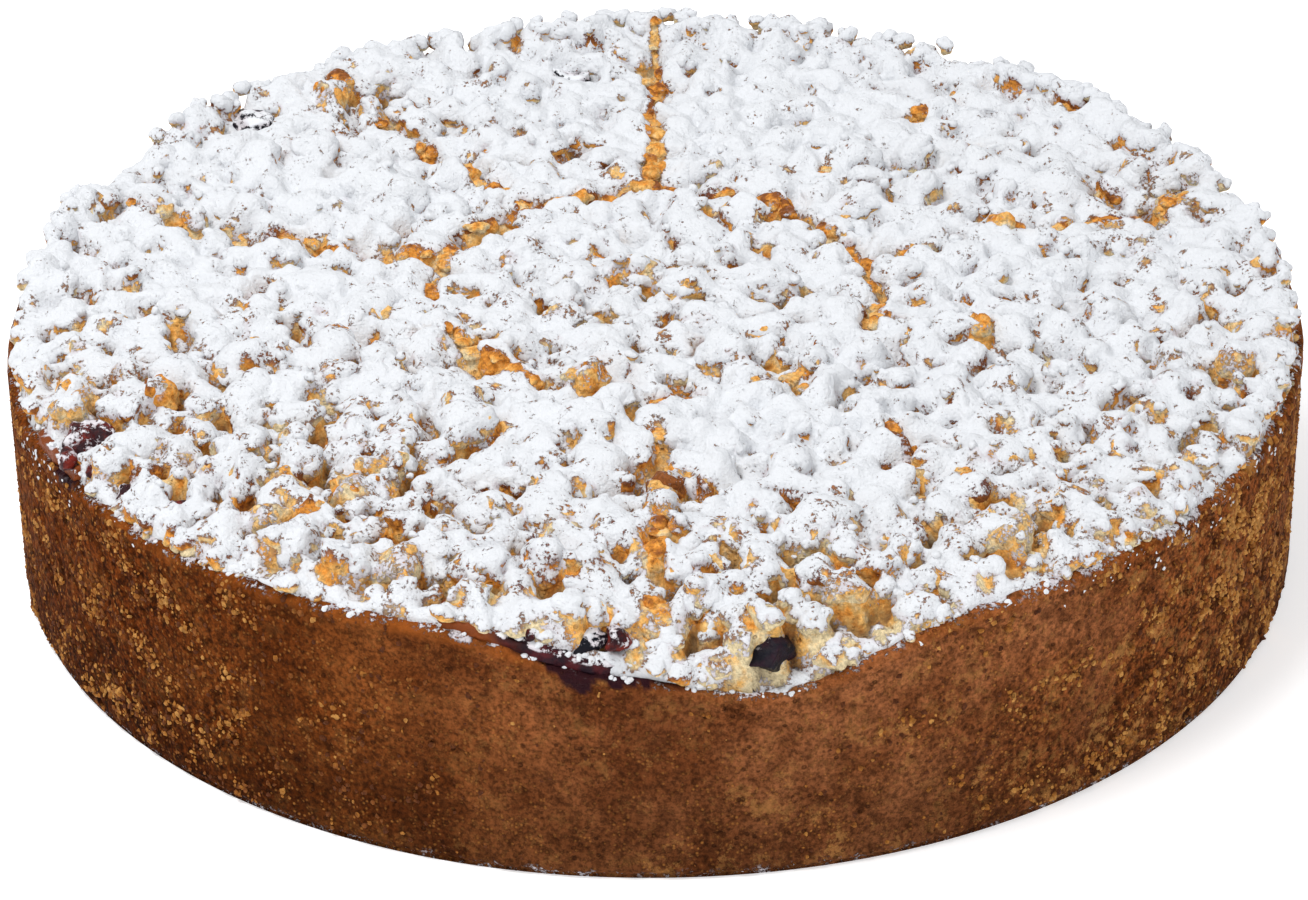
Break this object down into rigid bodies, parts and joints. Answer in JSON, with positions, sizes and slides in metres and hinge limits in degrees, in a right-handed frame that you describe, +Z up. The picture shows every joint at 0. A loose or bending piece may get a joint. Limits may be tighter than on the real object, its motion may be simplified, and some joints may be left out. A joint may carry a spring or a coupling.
{
  "type": "round fruit crumble cake",
  "caption": "Round crumble cake: browned pastry case, dark fruit showing at the rim, and sugar-dusted crumble scored into portions round a centre circle.",
  "frame": {"origin": "middle of the flat underside", "axes": "+Z up out of the crumble; -Y towards the side that the picture shows, where the rim dips; +X to that view's right"},
  "size_m": [0.2796, 0.2794, 0.064],
  "materials": {
    "baked_crust": "matte baked pastry, brown, porous, with paler crumbs",
    "dark_fruit": "cooked dark red fruit and its set juice, moist",
    "sugared_crumble": "golden butter crumble under uneven white icing sugar",
    "berry_skin": "dark blue-black berry skin, slightly glossy, lightly dusted"
  },
  "bodies": {
    "root": {"crust": "baked_crust", "fruit_layer": "dark_fruit", "crumble_topping": "sugared_crumble", "berry_front_left": "berry_skin", "berry_front_right": "berry_skin", "berry_left": "berry_skin", "berry_back_left": "berry_skin", "berry_back": "berry_skin"}
  },
  "joints": []
}
